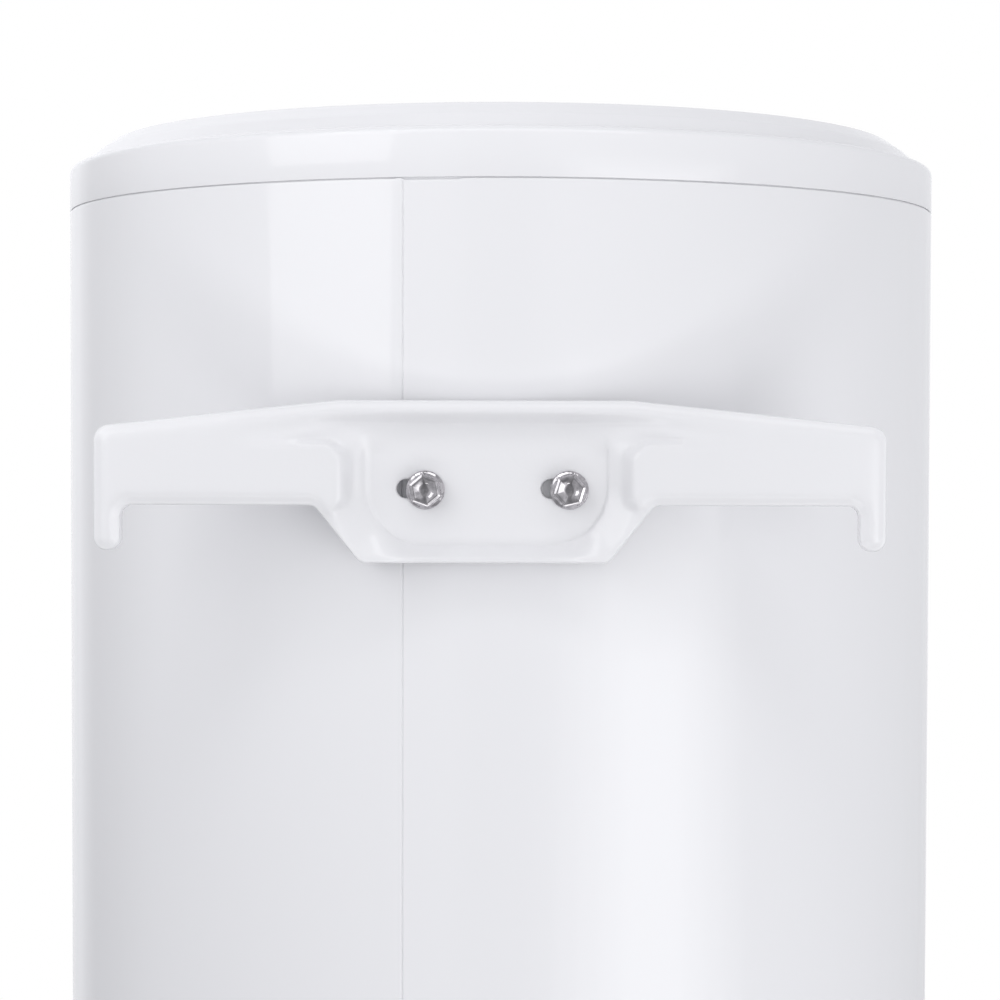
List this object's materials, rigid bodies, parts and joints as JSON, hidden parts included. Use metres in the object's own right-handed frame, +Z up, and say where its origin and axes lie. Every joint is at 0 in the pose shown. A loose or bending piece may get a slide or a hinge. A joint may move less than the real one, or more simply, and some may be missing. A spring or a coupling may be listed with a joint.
{
  "type": "tank water heater",
  "caption": "Wall-hung cylindrical electric storage water heater with a pressed wall bracket, domed caps, underside controls and dial thermometer.",
  "frame": {"origin": "in the wall plane, midway between the two bracket bolts, at the height of the arm edges that rest on the wall hooks", "axes": "+Z up along the tank, +Y into the wall, -Y towards the room"},
  "size_m": [0.45, 0.4696, 0.582],
  "materials": {
    "casing_white": "gloss",
    "cap_white": "gloss",
    "bracket_white": "gloss",
    "bolt_chrome": "polished",
    "zinc_steel": "satin",
    "enamelled_steel": "gloss",
    "foam_cream": "matt",
    "gasket_rubber": "matt",
    "copper": "satin",
    "bush_ceramic": "matt",
    "anode_grey": "matt",
    "pocket_brass": "satin",
    "stat_cream": "matt",
    "button_red": "gloss",
    "nylon_white": "satin",
    "ring_blue": "gloss",
    "ring_red": "gloss",
    "cover_white": "satin",
    "knob_grey": "satin",
    "switch_black": "gloss",
    "rocker_red": "gloss",
    "lamp_green": "gloss",
    "lamp_amber": "gloss",
    "gland_grey": "satin",
    "wire_brown": "satin",
    "wire_blue": "satin",
    "wire_green": "satin",
    "bezel_silver": "gloss",
    "dial_white": "matt",
    "needle_red": "satin",
    "lens_clear": "gloss"
  },
  "bodies": {
    "heater": {"anode_nut": "zinc_steel", "anode_rod": "anode_grey", "bottom_cap": "cap_white", "bracket_bolts": "bolt_chrome", "bracket_bosses": "zinc_steel", "cable_gland": "gland_grey", "cap_screws": "bolt_chrome", "cold_nipple": "zinc_steel", "cold_ring": "ring_blue", "cover_screws": "bolt_chrome", "earth_screw": "pocket_brass", "earth_wire": "wire_green", "element_bushes": "bush_ceramic", "element_flange": "zinc_steel", "element_wire_left": "wire_brown", "element_wire_right": "wire_blue", "flange_collar": "zinc_steel", "flange_gasket": "gasket_rubber", "flange_nuts": "zinc_steel", "flange_studs": "zinc_steel", "gland_nut": "gland_grey", "heating_element": "copper", "heating_lamp": "lamp_amber", "hot_nipple": "zinc_steel", "hot_ring": "ring_red", "hot_riser_tube": "nylon_white", "inlet_diffuser": "nylon_white", "insulation_foam": "foam_cream", "line_wire": "wire_brown", "neutral_wire": "wire_blue", "outer_casing": "casing_white", "power_lamp": "lamp_green", "service_cover": "cover_white", "switch_housing": "switch_black", "switched_wire": "wire_brown", "tank_bottom_dome": "enamelled_steel", "tank_shell": "enamelled_steel", "tank_top_dome": "enamelled_steel", "terminal_block": "nylon_white", "thermometer_bezel": "bezel_silver", "thermometer_case": "nylon_white", "thermometer_dial": "dial_white", "thermometer_lens": "lens_clear", "thermometer_sensor": "pocket_brass", "thermostat_body": "stat_cream", "thermostat_pocket": "copper", "top_cap": "cap_white", "wall_bracket": "bracket_white"},
    "temperature_control": {"temperature_knob": "knob_grey", "thermostat_spindle": "nylon_white"},
    "rocker": {"rocker_switch": "rocker_red"},
    "needle": {"thermometer_needle": "needle_red"},
    "reset": {"reset_button": "button_red"}
  },
  "joints": [
    {"name": "temperature_knob_turn", "type": "hinge", "parent": "heater", "child": "temperature_control", "pos_m": [0, -0.254, -0.38], "axis": [0, 0, 1], "range_deg": [0, 265]},
    {"name": "rocker_tilt", "type": "hinge", "parent": "heater", "child": "rocker", "pos_m": [0.052, -0.302, -0.3695], "axis": [0, -1, 0], "range_deg": [0, 16]},
    {"name": "thermometer_needle_turn", "type": "hinge", "parent": "heater", "child": "needle", "pos_m": [0, -0.4624, -0.15], "axis": [0, 1, 0], "range_deg": [0, 230]},
    {"name": "reset_button_press", "type": "slide", "parent": "heater", "child": "reset", "axis": [0, 0, 1], "range_m": [0, 0.0015], "stiffness_N_per_m": 400}
  ]
}
